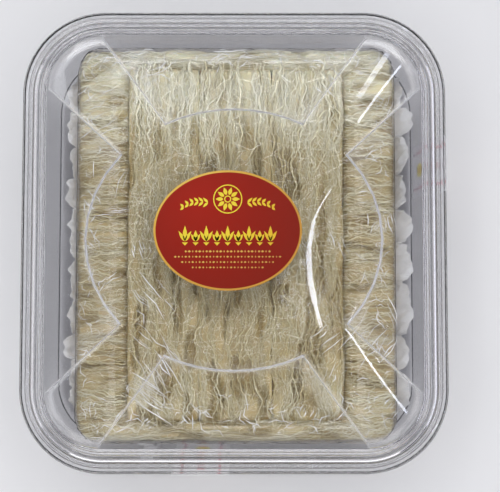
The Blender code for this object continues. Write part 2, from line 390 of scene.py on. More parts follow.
lid_outside = rounded(edge_beads + lid_core[4:7] + inner_bead + lid_core[7:], 0.0010)
lid_inside = rounded([tuple(p) for p in inner_side(lid_core, lid_wall)], 0.0012)
lid_inside[0].y = skirt_foot
lid_rings = top_rings(0.0, 0.0)[::-1]
lid_rings += [box_ring(inset, z) for inset, z in reversed(lid_outside)]
lid_rings += [box_ring(inset, z) for inset, z in lid_inside]
lid_rings += top_rings(lid_wall, lid_wall / 2)
lid_bm = sweep_rings(lid_rings)
lid_bm.normal_update()
# Painted highlight on the lid's top: the more a face slopes, the whiter and less clear it is drawn, in
# place of the light its moulded steps catch.
painted_highlight = lid_bm.verts.layers.float.new("painted_highlight")
for vertex in lid_bm.verts:
    on_top = vertex.co.z > panel_top - lid_wall - 0.0004 and vertex.co.z < oval_top + 0.0001
    if on_top:
        vertex[painted_highlight] = min(1.0, 1.6 * (1.0 - abs(vertex.normal.z)))
lid_piece = as_piece("lid_shell", lid_bm, [lid_plastic], ["lid"])
flatten_normals(lid_piece)

# The camera looks straight down on the lid, a little from the front, as the photo does. Its aim
# is off the box's middle because the box sits left of and above the middle of the picture.
aim = Vector((0.0070, -0.0026, rim_top))
camera_far = 0.430
camera_tilt = math.radians(3.5)
picture_wide = 0.2190

camera_data = bpy.data.cameras.new("camera")
camera_data.sensor_width = 36.0
camera_data.lens = 36.0 * camera_far / picture_wide
camera_data.clip_start = 0.01
camera = new_object("camera", camera_data)
camera.location = aim + camera_far * Vector((0.0, -math.sin(camera_tilt), math.cos(camera_tilt)))
camera.rotation_euler = (camera_tilt, 0.0, 0.0)
bpy.context.scene.camera = camera

# The nest is thirteen strips of cleaned swiftlet nest: dried, half-clear strands that were combed
# out, laid flat and dried again. A strip is a lumpy bed, tan in its hollows, under fine strands that
# gather into ropes, part round the hollows and cross from rope to rope. Its colour darkens with depth,
# partly the nest's own tan and partly painted shade. Three lie along the box.
nest_middle = Vector((0.0006, -0.0005, 0.0))
nest_half_y = 0.0897
nest_half_x = 0.072
nest_corner = 0.012
top_half_x = 0.049
top_half_y = 0.0785
lip_run = 0.0026
lip_rise = 0.0090
lip_clear = -0.0014
strip_tall = 0.0132
hollow_deep = 0.0026
bed_reach = (0.0010, 0.0004)
bed_foot = 0.0004
lowest_strand = 0.0006
hair_length = 0.009
hair_slant = 0.7
hair_curl = 240.0
hair_points = 10
shaded_depth = 0.0048


def noise_at(x, y=0.0, z=0.0):
    """Smooth noise from -1 to 1 at a place."""
    return noise.noise(Vector((x, y, z)))


def blended(tree, value, share, added):
    """A share of one value added to another."""
    return add_node(tree, "Math", {0: value, 1: share, 2: added}, operation="MULTIPLY_ADD").outputs[0]


def tinted(tree, value, tones):
    """The colour that (position, colour) stops give to a value."""
    made = add_node(tree, "ValToRGB", {"Fac": value})
    stops = made.color_ramp.elements
    stops[0].position, stops[1].position = tones[0][0], tones[-1][0]
    for position, _ in tones[1:-1]:
        stops.new(position)
    for stop, (_, colour) in zip(stops, tones):
        stop.color = (*colour, 1.0)
    return made.outputs["Color"]


def bumps(tree, height, strength, distance):
    """A normal that follows small bumps."""
    inputs = {"Height": height, "Strength": strength, "Distance": distance}
    return add_node(tree, "Bump", inputs).outputs["Normal"]


def opaque_material(name, dress):
    """A material on one Principled shader, with the inputs that dress(tree) gives."""
    material, tree, surface = new_material(name)
    shader = add_node(tree, "BsdfPrincipled", dress(tree))
    tree.links.new(shader.outputs[0], surface)
    return material


def nest_material(name, fibre_scale, fibre_share, tones, scatter, glow):
    """Dried nest: lighter on top and darker with depth, partly its own tan and partly painted shade, with
    fine fibres and a soft gloss.
    """
    def dress(tree):
        place = own_place(tree)
        drawn_out = add_node(tree, "Mapping", {"Vector": place, "Scale": fibre_scale}).outputs["Vector"]
        fibres = clouds(tree, drawn_out, 1500.0, 4.0, 0.6)
        depth = add_node(tree, "Attribute", attribute_name="depth").outputs["Fac"]
        shade = blended(tree, clouds(tree, place, 42.0), 0.30, blended(tree, fibres, fibre_share, depth))
        return {"Base Color": tinted(tree, shade, tones),
                "Roughness": spread(tree, fibres, 0.30, 0.60),
                "Normal": bumps(tree, fibres, 0.35, 0.0002),
                "Subsurface Weight": glow, "Subsurface Radius": scatter, "Subsurface Scale": 1.0}

    return opaque_material(name, dress)


bed_tones = ((0.10, (0.92, 0.89, 0.76)), (0.30, (0.78, 0.72, 0.50)), (0.60, (0.49, 0.39, 0.195)),
             (0.95, (0.40, 0.295, 0.115)))
strand_tones = ((0.10, (0.95, 0.93, 0.82)), (0.28, (0.86, 0.82, 0.62)), (0.52, (0.62, 0.53, 0.305)),
                (0.80, (0.50, 0.40, 0.20)), (1.0, (0.42, 0.31, 0.125)))
bed_scatter = (0.0036, 0.0028, 0.0016)
strand_scatter = (0.0006, 0.0005, 0.0004)
nest_materials = {}
for across, way, fibre_scale in ((False, "along", (1.0, 0.10, 1.0)), (True, "across", (0.10, 1.0, 1.0))):
    nest_materials[across] = [
        nest_material(f"nest bed {way}", fibre_scale, 0.10, bed_tones, bed_scatter, 0.75),
        nest_material(f"dried strand {way}", fibre_scale, 0.14, strand_tones, strand_scatter, 0.30)]


class Strip:
    """One nest strip: its block, its way of lying, and the ropes that its strands gather into."""

    def __init__(self, node, lies_across, lipped, rope_counts, open_side=0):
        self.node = node
        self.open_side = open_side
        self.low, self.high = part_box(node)
        self.middle = (self.low + self.high) / 2
        self.lies_across = lies_across
        self.lipped = lipped
        self.end_drop = 0.20 if lies_across else 0.25
        self.end_power = 30 if lies_across else 16
        self.end_narrow = 0.0 if lies_across else 0.06
        self.side_drop = 0.16 if lies_across and open_side > 0 else 0.55
        self.dice = random.Random(node)
        size = self.high - self.low
        self.half_length = (size.x if lies_across else size.y) / 2
        self.half_width = (size.y if lies_across else size.x) / 2
        self.trim = 0.012 if lies_across else 0.02
        self.overhang = 0.018 if lies_across else 0.085
        self.ropes = []
        for count in rope_counts:
            pitch = 2.0 * self.half_width / count
            self.ropes.append([
                (pitch * (i + self.dice.uniform(0.2, 0.8)) - self.half_width, self.dice.uniform(0.0, 500.0))
                for i in range(count)])

    def rope_at(self, layer, index, along):
        """Where a rope's middle runs across the strip."""
        base, seed = self.ropes[layer][index]
        sway = 0.0046 * noise_at(along * 34.0, seed) + 0.0030 * noise_at(along * 80.0, seed, 2.0)
        return base + sway * self.looseness(along)

    def looseness(self, along):
        """How far the ropes part: little at the strip's back end, more at its front end."""
        if self.lies_across:
            return 0.6
        return 0.95 - 0.40 * along / self.half_length

    def crown(self, across):
        """Height of the strip's upper surface over its bed, across its width."""
        side = min(abs(across) / self.half_width, 1.0)
        if across * self.open_side > 0.0:
            return strip_tall * (1.0 - self.side_drop * (1.0 - math.sqrt(max(0.0, 1.0 - side ** 14))))
        return strip_tall

    def hollow(self, along, across):
        """How deep a place lies in a hollow between the ropes: 0 on most of the strip, 1 in one."""
        if self.lies_across:
            wave = noise_at(along * 80.0, across * 190.0, self.low.y * 90.0)
            return 0.55 * ease((wave - 0.08) / 0.34)
        fading = 1.0 - 0.70 * ease((along - 0.026) / 0.030)
        return fading * ease((noise_at(across * 175.0, along * 62.0, self.low.x * 90.0) - 0.04) / 0.26)

    def end_share(self, along):
        """1 along most of the strip, falling to 0 at its round ends."""
        return math.sqrt(max(0.0, 1.0 - min(abs(along) / self.half_length, 1.0) ** self.end_power))

    def put(self, along, across, up):
        """A place on the strip moved to the object, raised by the lip and tucked into the block."""
        x, y = (along, across) if self.lies_across else (across, along)
        x += self.middle.x - nest_middle.x
        y += self.middle.y - nest_middle.y
        inset = nest_half_x - self.half_length
        if self.lies_across:
            corner_x = self.half_length - nest_corner
            corner_y = nest_half_y - inset - nest_corner
            over = Vector((abs(x) - corner_x, abs(y) - corner_y))
            if over.x > 0.0 and over.y > 0.0 and over.length > nest_corner:
                over = over.normalized() * nest_corner
                x = math.copysign(corner_x + over.x, x)
                y = math.copysign(corner_y + over.y, y)
        if self.lipped:
            outside = max(abs(x) - top_half_x, abs(y) - top_half_y) - lip_clear
            up += lip_rise * ease(outside / lip_run) * min(up / strip_tall, 1.0)
        return Vector((x + nest_middle.x, y + nest_middle.y, self.low.z + up))

    def on_top(self, along, across, sunk):
        """A place at a depth under the strip's upper surface, kept inside its sides."""
        edge = self.half_width + (0.0006 if across * self.open_side > 0.0 else 0.0026)
        across = max(-edge, min(edge, across))
        share = self.end_share(along)
        up = (self.crown(across) - sunk) * (1.0 - self.end_drop * (1.0 - share))
        return self.put(along, across * (1.0 - self.end_narrow * (1.0 - share)), max(up, lowest_strand))


def strip_bed(strip, cuts, crosscuts):
    """The strip's lumpy inner mass, a cut-up block pressed into the strip's round-edged form."""
    bm = bmesh.new()
    bmesh.ops.create_cube(bm, size=2.0)
    for axis, count in ((1, cuts), (0, crosscuts), (2, 2)):
        edges = [e for e in bm.edges if abs(e.verts[0].co[axis] - e.verts[1].co[axis]) > 1.0]
        bmesh.ops.subdivide_edges(bm, edges=edges, cuts=count, use_grid_fill=True)
    for vertex in bm.verts:
        side, end, level = vertex.co
        along = end * (strip.half_length + bed_reach[strip.lies_across])
        share = strip.end_share(end * strip.half_length)
        half = strip.half_width + (-0.0001 if side * strip.open_side > 0.0 else 0.00012)
        across = side * half * (1.0 - strip.end_narrow * (1.0 - share))
        sunk = 0.0009 + 0.0003 * noise_at(across * 420.0, along * 110.0, 8.0)
        sunk += hollow_deep * strip.hollow(along, across)
        top = (strip.crown(across) - sunk) * (1.0 - strip.end_drop * 1.2 * (1.0 - share))
        vertex.co = strip.put(along, across, bed_foot + (top - bed_foot) * (level + 1.0) / 2)
    bmesh.ops.recalc_face_normals(bm, faces=bm.faces)
    return bm


strand_outline_data = bpy.data.curves.new("strand outline", "CURVE")
strand_outline_data.dimensions = "2D"
outline_spline = strand_outline_data.splines.new("POLY")
outline_corners = ((-1.0, -0.35), (1.0, -0.35), (0.0, 0.55))
outline_spline.points.add(len(outline_corners) - 1)
for point, corner in zip(outline_spline.points, outline_corners):
    point.co = (*corner, 0.0, 1.0)
outline_spline.use_cyclic_u = True
strand_outline = new_object("strand outline", strand_outline_data)


def strands_to_mesh(bm, strands):
    """Give each strand its body along the outline, and add it to the bmesh with its tone."""
    data = bpy.data.curves.new("strands", "CURVE")
    data.dimensions = "3D"
    data.twist_mode = "Z_UP"
    data.bevel_mode = "OBJECT"
    data.bevel_object = strand_outline
    tones = []
    for points, radii, tilt, tone in strands:
        spline = data.splines.new("POLY")
        spline.points.add(len(points) - 1)
        for point, place, radius in zip(spline.points, points, radii):
            point.co = (*place, 1.0)
            point.radius = radius
            point.tilt = tilt
        tones += [tone] * (len(points) * len(outline_corners))
    carrier = new_object("strands", data)
    mesh = bpy.data.meshes.new_from_object(carrier.evaluated_get(bpy.context.evaluated_depsgraph_get()))
    mark = mesh.attributes.new("tone", "FLOAT", "POINT")
    mark.data.foreach_set("value", tones)
    bed_faces = set(bm.faces)
    bm.from_mesh(mesh)
    for face in bm.faces:
        face.material_index = 0 if face in bed_faces else 1
    open_ends = [edge for edge in bm.edges if edge.is_boundary]
    closed = bmesh.ops.holes_fill(bm, edges=open_ends, sides=len(outline_corners))
    for face in closed["faces"]:
        face.material_index = 1
    bpy.data.objects.remove(carrier)
    bpy.data.curves.remove(data)
    bpy.data.meshes.remove(mesh)


def rope_strand(strip, layer, index, looks, marks):
    """One fine strand that runs with its rope and changes to the next rope somewhere."""
    sunk, gathered, thickness, tone = looks
    dice = strip.dice
    seed = dice.uniform(0.0, 500.0)
    last = len(strip.ropes[layer]) - 1
    other = min(max(index + dice.choice((-1, 0, 0, 1)), 0), last)
    change_at = dice.uniform(-0.9, 0.9) * strip.half_length
    change_run = dice.uniform(0.006, 0.014)
    offset = dice.gauss(0.0, gathered)
    sunk = sunk * dice.uniform(0.4, 1.6)
    bound = 1.25 * hollow_deep if layer == 0 and dice.random() < 0.8 else 0.0
    trim_back = strip.trim * dice.random() ** 2 - strip.overhang * dice.random() ** 2
    trim_front = strip.trim * dice.random() ** 2 - strip.overhang * dice.random() ** 2
    points = []
    radii = []
    for mark in marks:
        along = strip.half_length * mark * (1.0 - (trim_back if mark < 0 else trim_front))
        first = strip.rope_at(layer, index, along)
        second = strip.rope_at(layer, other, along)
        centre = first + (second - first) * ease((along - change_at) / change_run + 0.5)
        loose = 0.75 + 0.75 * noise_at(along * 55.0, index * 7.7, layer * 5.0)
        curl = 0.0018 * noise_at(along * 150.0, seed) + 0.0012 * noise_at(along * 420.0, seed, 5.0)
        rise = 0.0006 * noise_at(along * 110.0, seed, 7.0)
        across = centre + offset * max(loose, 0.15) + curl
        rise -= bound * strip.hollow(along, across)
        points.append(strip.on_top(along, across, sunk - rise))
        broad = 1.0 if strip.lies_across else 1.0 + 0.9 * ease(along / strip.half_length * 1.6 - 0.5)
        radii.append(thickness * broad * (1.0 + 0.6 * noise_at(along * 130.0, seed, 11.0)))
    for i, share in ((0, 0.3), (1, 0.7), (-1, 0.3), (-2, 0.7)):
        radii[i] *= share
    return points, radii, dice.uniform(-0.5, 0.5), tone + dice.gauss(0.0, 0.05)


def flank_strand(strip, side, level, marks):
    """A strand along the strip's flank."""
    dice = strip.dice
    seed = dice.uniform(0.0, 500.0)
    points = []
    radii = []
    for mark in marks:
        along = strip.half_length * mark * 0.985
        up = level + 0.0012 * noise_at(along * 40.0, seed)
        across = side * (strip.half_width - 0.0008 - 0.0006 * noise_at(along * 60.0, seed, 5.0))
        narrow = 1.0 - strip.end_narrow * (1.0 - strip.end_share(along))
        points.append(strip.put(along, across * narrow, max(up, lowest_strand)))
        radii.append(0.00030 * (1.0 + 0.5 * noise_at(along * 90.0, seed, 11.0)))
    return points, radii, side * dice.uniform(0.9, 1.5), 0.10


def stray_hair(strip):
    """A short fine hair that crosses from rope to rope with a curl in it."""
    dice = strip.dice
    across = dice.uniform(-0.92, 0.92) * strip.half_width
    along = dice.uniform(-0.95, 0.95) * strip.half_length
    heading = dice.gauss(0.0, hair_slant)
    curl = dice.gauss(0.0, hair_curl)
    length = hair_length * dice.uniform(0.4, 1.4)
    radius = dice.uniform(0.00007, 0.00016)
    sunk = dice.uniform(-0.0003, 0.0005)
    points = []
    radii = []
    for i in range(hair_points):
        t = i / (hair_points - 1) - 0.5
        turn = heading + curl * t * length
        place = (along + t * length * math.cos(turn), across + t * length * math.sin(turn))
        if abs(place[1]) < strip.half_width - 0.0006 and abs(place[0]) < strip.half_length - 0.001:
            lies_in = 0.6 * hollow_deep * strip.hollow(*place)
            points.append(strip.on_top(*place, sunk + lies_in + 0.0012 * (2.0 * t) ** 2))
            radii.append(radius * (1.2 - abs(2.0 * t)))
    return points, radii, 0.0, dice.gauss(-0.11, 0.05)


def make_strip(strip, web, flank, hairs, marks, bed_cuts):
    """Build one strip as a single piece and mark how deep and dark each part of it lies: darker with depth,
    partly the nest's own tan and partly painted shade, and lighter by place, with painted light on one
    band.

    The web gives for each layer of ropes how many strands a rope has, how deep they lie, how far
    they spread, how thick they are, and how much darker or paler.
    """
    bm = strip_bed(strip, *bed_cuts)
    bm.verts.layers.float.new("tone")
    strands = []
    for layer, (per_rope, sunk, gathered, thickness, tone) in enumerate(web):
        step = 1 if layer == 0 else 2
        for index in range(len(strip.ropes[layer])):
            for _ in range(per_rope):
                width = thickness * strip.dice.choice((0.5, 0.6, 0.7, 0.9, 1.0, 1.3, 2.0))
                looks = (sunk, gathered, width, tone)
                strands.append(rope_strand(strip, layer, index, looks, marks[::step]))
    for side in (-1, 1):
        for i in range(flank):
            level = strip_tall * (0.06 + 0.5 * (i + strip.dice.random()) / flank)
            strands.append(flank_strand(strip, side, level, marks[::4]))
    for _ in range(hairs):
        hair = stray_hair(strip)
        if len(hair[0]) > 4:
            strands.append(hair)
    strands_to_mesh(bm, strands)
    tone_layer = bm.verts.layers.float["tone"]
    # The depth attribute carries painted shade: the tone darkens with depth under the crest, partly as the
    # nest's own tan and partly as painted shade.
    tone_with_painted_shade = []
    for vertex in bm.verts:
        x, y = vertex.co.x - strip.middle.x, vertex.co.y - strip.middle.y
        along, across = (x, y) if strip.lies_across else (y, x)
        crest = strip.on_top(along, across, 0.0).z
        sunk = (crest - vertex.co.z) / shaded_depth
        y = vertex.co.y
        # Lighter towards the back and the front of the box. The across strips are lighter overall, and
        # their back band gets painted light.
        lighter_by_place_with_painted_light = 0.26 * ease((y - 0.032) / 0.034) + 0.08 * ease((-0.056 - y) / 0.015)
        if strip.lies_across:
            lighter_by_place_with_painted_light += 0.09 + 0.20 * ease((y - 0.070) / 0.010)
        tone_with_painted_shade.append(max(0.0, min(1.0, 0.66 * sunk + vertex[tone_layer] + 0.30 - lighter_by_place_with_painted_light)))
    piece = as_piece(strip.node + "_strands", bm, nest_materials[strip.lies_across], [strip.node])
    mark = piece.data.attributes.new("depth", "FLOAT", "POINT")
    mark.data.foreach_set("value", tone_with_painted_shade)


def even_marks(count):
    """Places along a strip from -1 to 1."""
    return [2.0 * i / (count - 1) - 1.0 for i in range(count)]


def end_marks(count):
    """Places along a strip from -1 to 1, close together near its ends and wide in its middle."""
    return [math.copysign(abs(m) ** 0.45, m) for m in even_marks(count)]


for i in (1, 2, 3):
    make_strip(
        Strip(f"nest_top_{i}", False, False, (6, 9), i - 2),
        web=((14, 0.0003, 0.0015, 0.00013, -0.04), (3, 0.0016, 0.0018, 0.00017, -0.02)),
        flank=6, hairs=1080, marks=even_marks(150), bed_cuts=(84, 32))

# The middle course lies across the box below them. Only its ends and its outer edges show from
# above, where it stands up round the top strips.
for i in range(1, 6):
    make_strip(
        Strip(f"nest_middle_{i}", True, True, (11, 9), (i - 3) // 2 if i != 2 else 0),
        web=((8, 0.0003, 0.0014, 0.00013, -0.04), (2, 0.0014, 0.0018, 0.00017, -0.02)),
        flank=4, hairs=300, marks=end_marks(58), bed_cuts=(56, 20))

# The low course lies on the paper and shows only from the sides, through the tray's walls. Its
# strands are fewer and thicker, since they are seen through plastic and mostly along the flanks.
for i in range(1, 6):
    make_strip(
        Strip(f"nest_low_{i}", True, False, (11,)),
        web=((3, 0.0004, 0.0010, 0.00036, 0.05),),
        flank=8, hairs=10, marks=end_marks(26), bed_cuts=(20, 10))

# The liner is a sheet of soft white paper under the nest. Its long edges stand up beside the nest,
# crumpled into flat facets and torn into pointed tongues, and one tongue stands up at the front.
liner_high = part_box("liner")[1]
liner_base = 0.0025
liner_half_x = 0.0729
liner_half_y = 0.0795
flap_tall = 0.0375
flap_share = 0.40
flap_turn = 0.64
paper_thick = 0.00012
inside_box = 0.0003
crease_ways = ((97.0, 31.0), (-52.0, 118.0), (151.0, -88.0))


class Tongues:
    """A torn flap: tongues side by side along the box, each with a lean and a peak of its own."""

    def __init__(self, seed, leans):
        dice = random.Random(seed)
        self.tongues = []
        start = -liner_half_y
        while start < liner_half_y:
            long = dice.uniform(0.010, 0.027)
            peak = dice.uniform(0.2, 0.8)
            self.tongues.append((start, long, dice.uniform(*leans), peak, dice.uniform(0.86, 1.0)))
            start += long

    def at(self, y):
        """How far the flap leans out at its top and how tall it stands, at a place along the box."""
        inside = [t for t in self.tongues if t[0] <= y < t[0] + t[1]]
        start, long, lean, peak, tall = inside[0] if inside else self.tongues[-1]
        place = (y - start) / long
        fall = min(1.0, abs(place - peak) / (peak if place < peak else 1.0 - peak))
        notch = max(0.0, 1.0 - min(place, 1.0 - place) * long / 0.0009)
        corner = ease((liner_half_y - abs(y)) / 0.012)
        ragged = 0.0018 * (crumple(1.7 * y, lean * 40.0) - 0.5)
        reach = tall - 0.06 * fall - 0.12 * notch
        return lean * (1.0 - 0.42 * fall ** 2 - 0.30 * notch) + ragged, reach * (0.55 + 0.45 * corner)


def crumple(along, up):
    """Flat facets with sharp creases between them, from 0 to 1."""
    waves = [abs((along * a + up * b + 0.37 * i) % 1.0 - 0.5) for i, (a, b) in enumerate(crease_ways)]
    return 2.0 * sum(waves) / len(waves)


def along_path(path, share):
    """The place at a share of a path's length."""
    lengths = [(b - a).length for a, b in zip(path, path[1:])]
    left = share * sum(lengths)
    for a, b, long in zip(path, path[1:], lengths):
        if left <= long:
            return a.lerp(b, left / long)
        left -= long
    return path[-1].copy()


flap_edges = {-1: Tongues("left flap", (0.0012, 0.0044)), 1: Tongues("right flap", (0.0044, 0.0082))}
liner_bm = bmesh.new()
bmesh.ops.create_grid(liner_bm, x_segments=64, y_segments=200, size=1.0)
for vertex in liner_bm.verts:
    u = vertex.co.x
    y = vertex.co.y * liner_half_y
    side = 1 if u > 0 else -1
    t = max(0.0, (abs(u) - (1.0 - flap_share)) / flap_share)
    if t > 0.0:
        lean, reach = flap_edges[side].at(y)
        fold = crumple(y + 0.031 * side, t * flap_tall)
        turned = max(0.0, (t - flap_turn) / (1.0 - flap_turn))
        x = liner_half_x + lean * turned + 0.0024 * (fold - 0.35) * min(1.0, 3.0 * turned)
        z = liner_base + flap_tall * reach * t - 0.0008 * fold * t
    else:
        x = liner_half_x * abs(u) / (1.0 - flap_share)
        z = liner_base - 0.0001 * crumple(x, y)
    vertex.co = (side * min(x, liner_high.x - inside_box), y, min(z, liner_high.z - inside_box))

tab_path = rounded([
    (0.0790, liner_base), (0.0920, liner_base), (0.0941, 0.0200), (0.0909, flap_tall)], 0.0030)
tab_middle = -0.0397
tab_half = 0.0032
tab = bmesh.ops.create_grid(liner_bm, x_segments=8, y_segments=40, size=1.0)
for vertex in tab["verts"]:
    u, v = vertex.co.x, (vertex.co.y + 1.0) / 2
    place = along_path(tab_path, v * (1.0 - 0.13 * max(0.0, u) ** 0.7))
    bulge = 0.0006 * crumple(u * 0.004, v * 0.04) * v
    vertex.co = (tab_middle + u * tab_half - 0.0006 * v, -place.x + bulge, place.y)
liner_bm.normal_update()


def paper_dress(tree):
    """Soft white paper: matt, with a fine felt and faint grey clouds."""
    place = own_place(tree)
    felt = clouds(tree, place, 900.0, 4.0)
    greys = ((0.3, (0.72, 0.73, 0.74)), (0.7, (0.84, 0.85, 0.86)))
    return {"Base Color": tinted(tree, clouds(tree, place, 60.0), greys),
            "Roughness": spread(tree, felt, 0.75, 0.95),
            "Normal": bumps(tree, felt, 0.3, 0.0001),
            "Subsurface Weight": 0.9, "Subsurface Radius": (1.0, 1.0, 1.0), "Subsurface Scale": 0.0012}


soft_paper = opaque_material("soft paper", paper_dress)
liner_piece = as_piece("liner_paper_sheet", liner_bm, [soft_paper], ["liner"])
liner_piece.data.shade_flat()
paper_wall = liner_piece.modifiers.new("paper thickness", "SOLIDIFY")
paper_wall.thickness = paper_thick
paper_wall.offset = 0.0

# The film is household cling film drawn over the strips and tucked down beside them. It is taut
# over the top strips, slopes to the shoulders, and hangs in pleats down the sides.
film_low, film_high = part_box("film")
film_half_x = nest_half_x + 0.0006
film_half_y = nest_half_y + 0.0006
film_corner = 0.0125
film_crest = film_high.z - inside_box
film_thick = 0.00005
film_shoulder = 0.0385
film_slope_x = 0.0215
film_slope_y = 0.0085
film_hang = film_shoulder - film_low.z - 0.0004


def ridges(x, y, z=0.0):
    """Thin sharp crests in smooth noise, from 0 to 1."""
    return (1.0 - min(1.0, abs(noise_at(x, y, z)) * 2.2)) ** 3


def fold_film(x, y):
    """Fold a place on the flat film over the nest."""
    q = Vector((abs(x) - (film_half_x - film_corner), abs(y) - (film_half_y - film_corner)))
    beyond = Vector((max(q.x, 0.0), max(q.y, 0.0)))
    outside = beyond.length + min(max(q.x, q.y), 0.0) - film_corner
    if outside > 0.0:
        away = Vector((math.copysign(beyond.x, x), math.copysign(beyond.y, y))).normalized()
        pleat = 0.0004 * (1.0 + noise_at(x * 110.0, y * 110.0)) * min(1.0, outside / 0.006)
        return Vector((x - away.x * (outside + pleat), y - away.y * (outside + pleat),
                       film_shoulder - outside))
    tx = min(1.0, (film_half_x - abs(x)) / film_slope_x)
    ty = min(1.0, (film_half_y - abs(y)) / film_slope_y)
    level = min(tx, ty)
    rise = math.sin(math.pi / 2 * level)
    rumple = 0.35 + 0.65 * (1.0 - ease(2.0 * level - 0.9))
    sink = 0.00045 * ridges(x * 70.0 + y * 30.0, y * 160.0 - x * 50.0) * rumple
    sink += 0.00030 * ridges(x * 230.0, y * 210.0, 4.0) * rumple * (1.0 - 0.75 * ease(level * 1.6 - 0.6))
    sink += 0.00020 * (1.0 + noise_at(x * 50.0, y * 50.0, 9.0))
    return Vector((x, y, film_shoulder + (film_crest - film_shoulder) * rise - sink))


film_bm = bmesh.new()
bmesh.ops.create_grid(film_bm, x_segments=96, y_segments=116, size=1.0)
film_reach_x = film_half_x + film_hang
film_reach_y = film_half_y + film_hang
beyond_hang = []
for vertex in film_bm.verts:
    x, y = vertex.co.x * film_reach_x, vertex.co.y * film_reach_y
    past_x = max(abs(x) - (film_half_x - film_corner), 0.0)
    past_y = max(abs(y) - (film_half_y - film_corner), 0.0)
    if math.hypot(past_x, past_y) > film_corner + film_hang + 1e-6:
        beyond_hang.append(vertex)
    vertex.co = fold_film(x, y) + nest_middle
bmesh.ops.delete(film_bm, geom=beyond_hang, context="VERTS")


def film_material():
    """Clear film with fine creases that catch the light."""
    material = clear_material("cling film", (0.98, 0.98, 0.97), 1.45, (0.03, 0.12), 0.96)
    tree = material.node_tree
    turned = add_node(tree, "Mapping", {
        "Vector": own_place(tree), "Rotation": (0.0, 0.0, 0.5), "Scale": (1.0, 3.2, 1.0)})
    crease = add_node(tree, "TexVoronoi", {
        "Vector": turned.outputs["Vector"], "Scale": 95.0}, feature="DISTANCE_TO_EDGE")
    sharp = add_node(tree, "MapRange", {
        "Value": crease.outputs["Distance"], "From Max": 0.07, "To Min": 1.0, "To Max": 0.0})
    shader = next(n for n in tree.nodes if n.type == "BSDF_PRINCIPLED")
    tree.links.new(bumps(tree, sharp.outputs["Result"], 0.35, 0.0003), shader.inputs["Normal"])
    shader.inputs["Specular IOR Level"].default_value = 0.6
    return material


film_piece = as_piece("film_sheet", film_bm, [film_material()], ["film"])
film_wall = film_piece.modifiers.new("film thickness", "SOLIDIFY")
film_wall.thickness = film_thick
film_wall.offset = -1.0

# Where the film is pinched it lies double in fine folds, drawn nearly opaque white as a painted highlight
# of the light they catch. Nearly parallel ones gather at places given in millimetres from the box's middle,
# and short ones lie along the film's bends.
film_gathers = (
    # x, y, heading in degrees, length, count, width of the group
    (-36.0, -27.0, -50.0, 15.0, 9, 15.0),
    (-39.0, -44.0, -40.0, 10.0, 5, 8.0),
    (-31.0, -56.0, -57.0, 15.0, 10, 18.0),
    (-37.0, -69.0, -32.0, 17.0, 10, 12.0),
    (-20.0, -77.0, -52.0, 6.0, 4, 8.0),
    (-38.0, -80.5, 42.0, 3.0, 6, 7.0),
    (62.0, -46.0, 47.0, 13.0, 10, 26.0),
    (42.0, -43.0, 38.0, 9.0, 5, 10.0),
    (43.0, -60.0, 66.0, 8.0, 3, 5.0),
    (33.0, -76.0, 60.0, 3.5, 6, 9.0),
    (70.0, -73.0, 46.0, 4.0, 7, 10.0),
    (69.0, -31.0, -62.0, 15.0, 4, 10.0),
    (69.0, 11.0, -76.0, 9.0, 5, 9.0),
    (47.0, -1.0, -68.0, 8.0, 4, 4.0),
    (58.0, 20.0, 8.0, 4.0, 4, 8.0),
    (67.0, 62.0, 66.0, 11.0, 6, 8.0),
    (43.0, 70.0, -48.0, 7.0, 5, 14.0),
    (60.0, 77.0, 6.0, 8.0, 3, 4.0),
    (0.0, 84.5, 1.0, 22.0, 5, 5.0),
    (-36.0, 75.0, 24.0, 14.0, 5, 7.0),
    (-60.0, 60.0, 26.0, 13.0, 7, 26.0),
    (-55.0, 13.5, 3.0, 9.0, 5, 3.0),
    (-65.0, 19.0, -50.0, 6.0, 4, 9.0),
    (-42.0, -4.0, -70.0, 5.0, 7, 9.0),
    (-52.0, 23.0, 72.0, 12.0, 2, 4.0),
    (-55.0, -17.0, 32.0, 9.0, 3, 6.0),
)
fold_dice = random.Random("folds")
fold_lift = Vector((0.0, 0.0, 0.00012))
short_folds = 380
fold_radii = (0.00006, 0.00008, 0.00011, 0.00014, 0.00020)


def film_fold(path, radius):
    """A pinched fold along a path on the film, with its body for the strand outline."""
    points = []
    radii = []
    legs = list(zip(path, path[1:]))
    for leg, (a, b) in enumerate(legs):
        steps = max(2, int(math.dist(a, b) / 0.0016))
        for i in range(steps + (leg == len(legs) - 1)):
            t = i / steps
            x = a[0] + (b[0] - a[0]) * t - nest_middle.x
            y = a[1] + (b[1] - a[1]) * t - nest_middle.y
            y += 0.0003 * noise_at(x * 300.0, y * 300.0)
            points.append(fold_film(x, y) + nest_middle + fold_lift)
    for i in range(len(points)):
        swell = 0.25 + 1.1 * math.sin(math.pi * (i / (len(points) - 1)))
        radii.append(radius * swell * (1.0 + 0.5 * noise_at(i * 0.9, radius * 1e5)))
    return points, radii, fold_dice.uniform(-0.4, 0.4), 0.0


